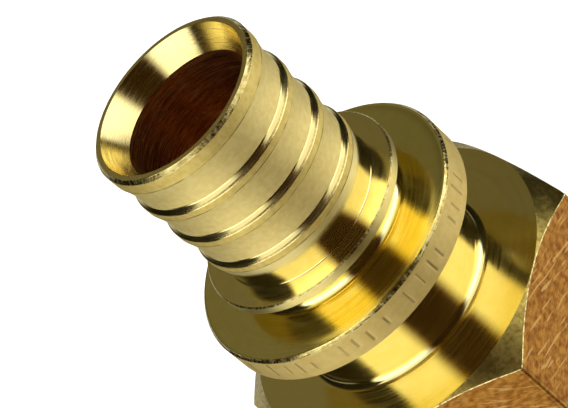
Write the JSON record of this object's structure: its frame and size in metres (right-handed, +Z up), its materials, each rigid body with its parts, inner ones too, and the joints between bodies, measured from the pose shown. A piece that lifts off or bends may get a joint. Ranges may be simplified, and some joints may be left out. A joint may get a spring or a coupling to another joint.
{
  "type": "pipe adapter",
  "caption": "Turned brass adapter with a barbed stub for plastic pipe at one end and a hexagon with a female pipe thread at the other.",
  "frame": {"origin": "middle of the hexagon's end face, in which the female thread opens and on which the part stands", "axes": "+Z up the part's axis towards the mouth of the pipe stub, +X through a corner of the hexagon"},
  "size_m": [0.0358, 0.031, 0.0481],
  "materials": {
    "brass": "turned, satin on the stub and the collar's rim and bright on the faces"
  },
  "bodies": {
    "root": {"adapter_body": "brass"}
  },
  "joints": []
}
